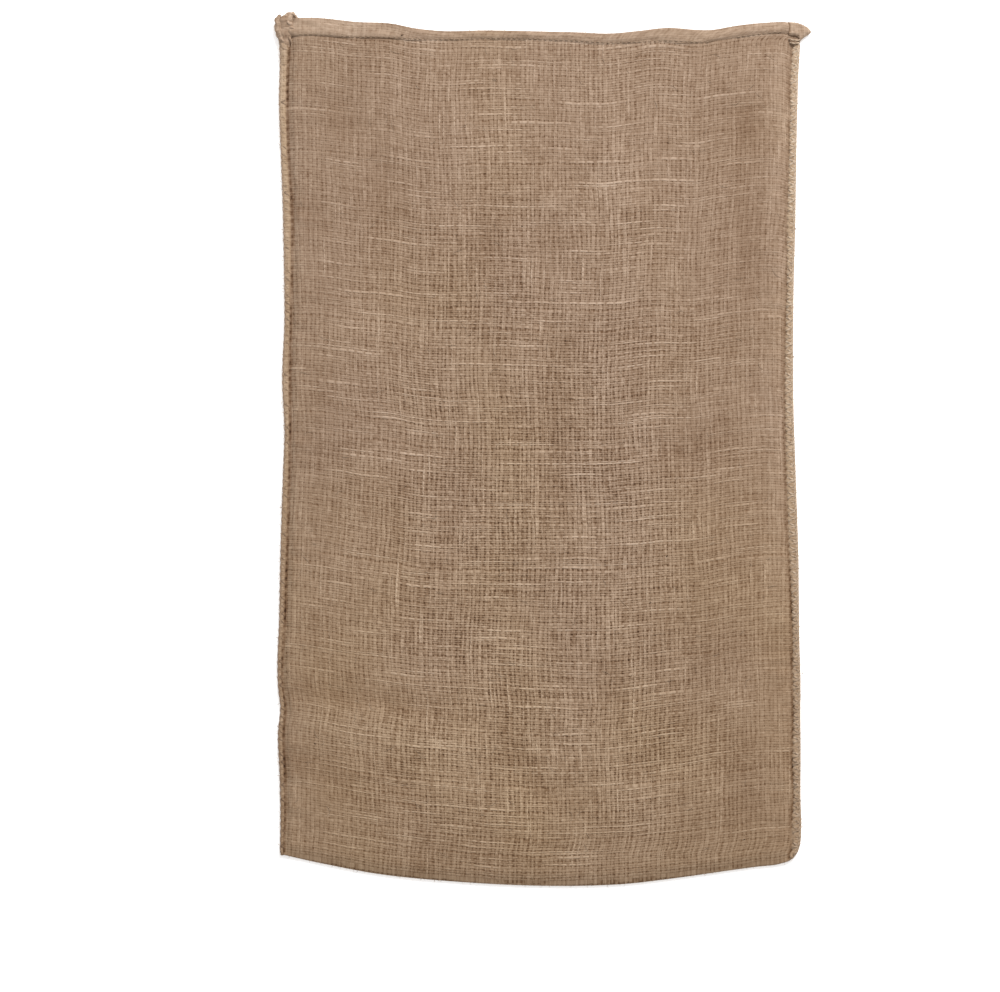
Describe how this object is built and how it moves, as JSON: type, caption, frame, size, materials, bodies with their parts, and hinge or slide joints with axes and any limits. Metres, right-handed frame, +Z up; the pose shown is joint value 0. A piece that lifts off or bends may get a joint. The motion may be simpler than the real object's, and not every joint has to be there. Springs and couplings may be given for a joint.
{
  "type": "jute sack",
  "caption": "Empty open-mouthed jute sack lying flat: hessian folded at the bottom, twine-overcast sides, turned mouth hem.",
  "frame": {"origin": "on the floor, on the underside of the back ply, under the middle of the sack between its side seams", "axes": "+X across the sack, +Y along it towards its open mouth, +Z up from the back ply to the front ply"},
  "size_m": [0.6156, 1.044, 0.0153],
  "materials": {
    "hessian": "coarse plain-weave jute hessian, matt, uneven yarns with paler slubs and dark gaps",
    "seam_twine": "loosely twisted pale jute twine, matt and hairy"
  },
  "bodies": {
    "root": {"sack_cloth": "hessian", "side_seam_left": "seam_twine", "side_seam_right": "seam_twine"}
  },
  "joints": []
}
